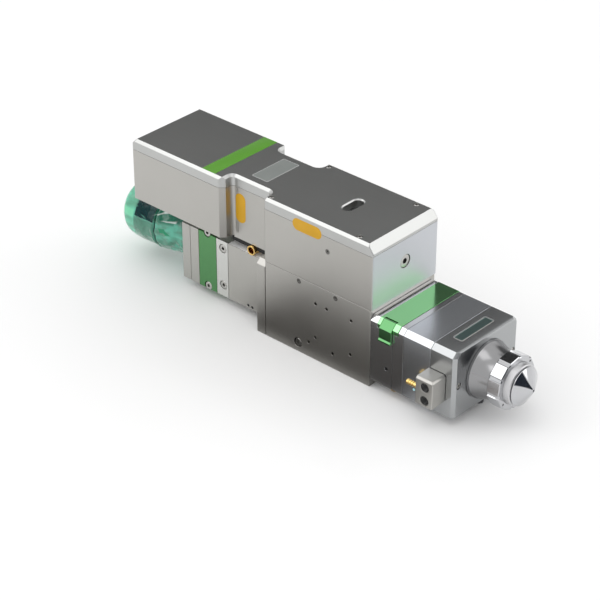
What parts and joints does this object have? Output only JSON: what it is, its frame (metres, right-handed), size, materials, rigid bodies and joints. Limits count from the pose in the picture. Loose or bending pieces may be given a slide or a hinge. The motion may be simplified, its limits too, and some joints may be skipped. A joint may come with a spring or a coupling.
{
  "type": "fiber laser cutting head",
  "caption": "Laser cutting head: motor-driven focusing lens in a milled housing, collimator stack with capped fiber receptacle, lift-out protective window, and ringed nozzle.",
  "frame": {"origin": "on the mounting face under the centre block, on the head's centre plane, 58 mm in front of the block's rear edge", "axes": "+X along the laser beam from the fiber to the nozzle, +Y across the head away from the port block, +Z from the mounting face towards the cover"},
  "size_m": [0.4546, 0.0968, 0.1315],
  "materials": {
    "anodised_silver": "bead-blasted and clear anodised",
    "brushed_cover": "milled and clear anodised, satin",
    "anodised_green": "satin green anodised",
    "ground_steel": "ground",
    "black_plastic": "matte",
    "black_rubber": "matte",
    "red_elastomer": "matte",
    "brass": "turned",
    "polished_chrome": "polished",
    "coated_glass": "polished, coated",
    "white_ceramic": "ground ceramic",
    "motor_black": "semi-gloss black",
    "navy_plastic": "semi-gloss",
    "teal_film": "thin translucent film",
    "circuit_board": "solder mask"
  },
  "bodies": {
    "head": {"drive_housing": "anodised_silver", "top_cover": "brushed_cover", "sight_window": "coated_glass", "servo_motor": "motor_black", "encoder_cover": "black_plastic", "fixed_bearing": "ground_steel", "free_bearing": "ground_steel", "screw_end_plug": "anodised_silver", "linear_rail_near": "ground_steel", "linear_rail_far": "ground_steel", "limit_sensors": "circuit_board", "centre_block": "anodised_silver", "rear_flange": "anodised_silver", "collimator_block": "anodised_silver", "collimator_clamp": "anodised_silver", "collimator_cover": "anodised_green", "rear_spacer": "anodised_silver", "fiber_flange": "anodised_silver", "collimator_cell": "anodised_silver", "collimator_lens": "coated_glass", "water_fitting": "brass", "neck_pad": "black_rubber", "fiber_receptacle": "anodised_silver", "fiber_cap": "navy_plastic", "film_wrap": "teal_film", "window_housing": "anodised_silver", "seal_plate": "anodised_silver", "window_seal": "black_rubber", "sensor_mount": "anodised_silver", "front_module": "anodised_silver", "sensor_body": "anodised_silver", "ceramic_ring": "white_ceramic", "lock_ring": "polished_chrome", "nozzle_holder": "anodised_silver", "nozzle": "polished_chrome", "port_block": "anodised_silver", "port_upper": "black_plastic", "port_lower": "black_plastic", "coax_socket": "brass", "power_connector": "black_plastic"},
    "drive_screw": {"ball_screw": "ground_steel", "coupling_motor_hub": "anodised_silver", "coupling_screw_hub": "anodised_silver", "coupling_spider": "red_elastomer", "motor_shaft": "ground_steel"},
    "carriage": {"lens_carriage": "anodised_silver", "ball_nut": "ground_steel", "rail_block_near": "ground_steel", "rail_block_far": "ground_steel", "scale_plate": "black_plastic", "focus_barrel": "anodised_silver", "focus_lens": "coated_glass", "focus_retainer": "ground_steel"},
    "drawer": {"drawer_cap": "anodised_green", "drawer_tray": "anodised_silver", "window_glass": "coated_glass", "window_retainer": "ground_steel", "latch_pin": "ground_steel"},
    "latch": {"drawer_latch": "anodised_green"},
    "collar": {"fiber_collar": "anodised_silver"}
  },
  "joints": [
    {"name": "focus_slide", "type": "slide", "parent": "head", "child": "carriage", "axis": [1, 0, 0], "range_m": [-0.01, 0.01]},
    {"name": "screw_turn", "type": "hinge", "parent": "head", "child": "drive_screw", "pos_m": [0, 0, 0.1012], "axis": [1, 0, 0], "range_deg": [-725, 725]},
    {"name": "drawer_lift", "type": "slide", "parent": "head", "child": "drawer", "axis": [0, 0, 1], "range_m": [0, 0.065]},
    {"name": "latch_swing", "type": "hinge", "parent": "drawer", "child": "latch", "pos_m": [0.0736, -0.035, 0.0665], "axis": [-1, 0, 0], "range_deg": [0, 90]},
    {"name": "collar_turn", "type": "hinge", "parent": "head", "child": "collar", "pos_m": [-0.2, 0, 0.037], "axis": [1, 0, 0], "range_deg": [0, 60]}
  ],
  "couplings": [
    {"joint": "screw_turn", "follows": "focus_slide", "rad_per_m": -1256.6}
  ]
}
